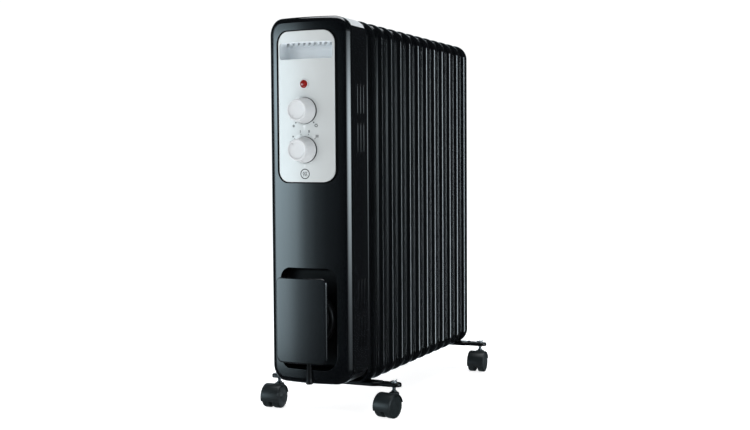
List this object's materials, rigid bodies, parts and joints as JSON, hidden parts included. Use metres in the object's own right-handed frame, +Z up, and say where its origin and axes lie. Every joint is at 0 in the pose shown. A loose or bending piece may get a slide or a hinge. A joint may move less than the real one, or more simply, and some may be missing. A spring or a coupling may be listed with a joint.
{
  "type": "oil filled radiator heater",
  "caption": "Oil filled column radiator heater: pressed-steel fins, crowned front control box with two knobs, lamp, finger grip and cord store, foot bars and twin-wheel casters.",
  "frame": {"origin": "centre of the bounding box in plan, on the floor under the wheels", "axes": "+X across the fins, +Y from the control box to the last fin, +Z up"},
  "size_m": [0.2515, 0.6052, 0.648],
  "materials": {
    "fin_enamel": "gloss",
    "casing_black": "gloss",
    "panel_silver": "satin",
    "knob_pearl": "satin",
    "white_plastic": "satin",
    "black_plastic": "satin",
    "lamp_red": "gloss",
    "lamp_glass": "gloss",
    "switch_body": "matte",
    "bright_steel": "polished",
    "zinc": "satin",
    "element_sheath": "satin",
    "cord_black": "satin",
    "plug_black": "satin",
    "pin_brass": "polished",
    "wire_red": "satin",
    "caster_plastic": "satin",
    "ceramic_white": "satin"
  },
  "bodies": {
    "heater_body": {"fin_01": "fin_enamel", "fin_02": "fin_enamel", "fin_03": "fin_enamel", "fin_04": "fin_enamel", "fin_05": "fin_enamel", "fin_06": "fin_enamel", "fin_07": "fin_enamel", "fin_08": "fin_enamel", "fin_09": "fin_enamel", "fin_10": "fin_enamel", "fin_11": "fin_enamel", "fin_12": "fin_enamel", "oil_collars": "fin_enamel", "heating_elements": "element_sheath", "element_flange": "zinc", "front_casing": "casing_black", "top_insert": "white_plastic", "bottom_insert": "casing_black", "rear_plate": "zinc", "casing_screws": "zinc", "control_panel": "panel_silver", "grip_recess": "panel_silver", "lamp_rim": "black_plastic", "lamp_lens": "lamp_red", "neon_lamp": "lamp_glass", "thermostat_body": "switch_body", "selector_body": "black_plastic", "thermal_cutout": "ceramic_white", "tip_over_switch": "black_plastic", "terminal_block": "ceramic_white", "wiring": "wire_red", "cord_well": "black_plastic", "cord_spool": "black_plastic", "cord_cover": "casing_black", "cord_boot": "cord_black", "cord_lead": "cord_black", "cord_coil": "cord_black", "cord_tail": "cord_black", "plug_body": "plug_black", "plug_pins": "pin_brass", "foot_bar_front": "fin_enamel", "foot_bar_rear": "fin_enamel", "foot_fasteners": "zinc", "caster_stems": "bright_steel"},
    "thermostat_dial": {"thermostat_shaft": "zinc", "thermostat_knob": "knob_pearl"},
    "selector_dial": {"selector_shaft": "zinc", "selector_knob": "knob_pearl"},
    "caster_front_left": {"hood_front_left": "caster_plastic"},
    "wheel_front_left_left_body": {"wheel_front_left_left": "caster_plastic"},
    "wheel_front_left_right_body": {"wheel_front_left_right": "caster_plastic"},
    "caster_front_right": {"hood_front_right": "caster_plastic"},
    "wheel_front_right_left_body": {"wheel_front_right_left": "caster_plastic"},
    "wheel_front_right_right_body": {"wheel_front_right_right": "caster_plastic"},
    "caster_rear_left": {"hood_rear_left": "caster_plastic"},
    "wheel_rear_left_left_body": {"wheel_rear_left_left": "caster_plastic"},
    "wheel_rear_left_right_body": {"wheel_rear_left_right": "caster_plastic"},
    "caster_rear_right": {"hood_rear_right": "caster_plastic"},
    "wheel_rear_right_left_body": {"wheel_rear_right_left": "caster_plastic"},
    "wheel_rear_right_right_body": {"wheel_rear_right_right": "caster_plastic"}
  },
  "joints": [
    {"name": "thermostat_turn", "type": "hinge", "parent": "heater_body", "child": "thermostat_dial", "pos_m": [0, -0.2748, 0.4995], "axis": [0, 1, 0], "range_deg": [0, 280]},
    {"name": "selector_turn", "type": "hinge", "parent": "heater_body", "child": "selector_dial", "pos_m": [0, -0.2748, 0.4375], "axis": [0, 1, 0], "range_deg": [0, 90]},
    {"name": "swivel_front_left", "type": "hinge", "parent": "heater_body", "child": "caster_front_left", "pos_m": [-0.107, -0.1705, 0.035], "axis": [0, 0, 1], "continuous": true},
    {"name": "roll_front_left_left", "type": "hinge", "parent": "caster_front_left", "child": "wheel_front_left_left_body", "pos_m": [-0.107, -0.1885, 0.01925], "axis": [1, 0, 0], "continuous": true},
    {"name": "roll_front_left_right", "type": "hinge", "parent": "caster_front_left", "child": "wheel_front_left_right_body", "pos_m": [-0.107, -0.1885, 0.01925], "axis": [1, 0, 0], "continuous": true},
    {"name": "swivel_front_right", "type": "hinge", "parent": "heater_body", "child": "caster_front_right", "pos_m": [0.107, -0.1705, 0.035], "axis": [0, 0, 1], "continuous": true},
    {"name": "roll_front_right_left", "type": "hinge", "parent": "caster_front_right", "child": "wheel_front_right_left_body", "pos_m": [0.10326, -0.18811, 0.01925], "axis": [0.9781, -0.2079, 0], "continuous": true},
    {"name": "roll_front_right_right", "type": "hinge", "parent": "caster_front_right", "child": "wheel_front_right_right_body", "pos_m": [0.10326, -0.18811, 0.01925], "axis": [0.9781, -0.2079, 0], "continuous": true},
    {"name": "swivel_rear_left", "type": "hinge", "parent": "heater_body", "child": "caster_rear_left", "pos_m": [-0.107, 0.2728, 0.035], "axis": [0, 0, 1], "continuous": true},
    {"name": "roll_rear_left_left", "type": "hinge", "parent": "caster_rear_left", "child": "wheel_rear_left_left_body", "pos_m": [-0.10826, 0.25484, 0.01925], "axis": [0.9976, -0.0698, 0], "continuous": true},
    {"name": "roll_rear_left_right", "type": "hinge", "parent": "caster_rear_left", "child": "wheel_rear_left_right_body", "pos_m": [-0.10826, 0.25484, 0.01925], "axis": [0.9976, -0.0698, 0], "continuous": true},
    {"name": "swivel_rear_right", "type": "hinge", "parent": "heater_body", "child": "caster_rear_right", "pos_m": [0.107, 0.2728, 0.035], "axis": [0, 0, 1], "continuous": true},
    {"name": "roll_rear_right_left", "type": "hinge", "parent": "caster_rear_right", "child": "wheel_rear_right_left_body", "pos_m": [0.10794, 0.25483, 0.01925], "axis": [0.9986, 0.0523, 0], "continuous": true},
    {"name": "roll_rear_right_right", "type": "hinge", "parent": "caster_rear_right", "child": "wheel_rear_right_right_body", "pos_m": [0.10794, 0.25483, 0.01925], "axis": [0.9986, 0.0523, 0], "continuous": true}
  ]
}
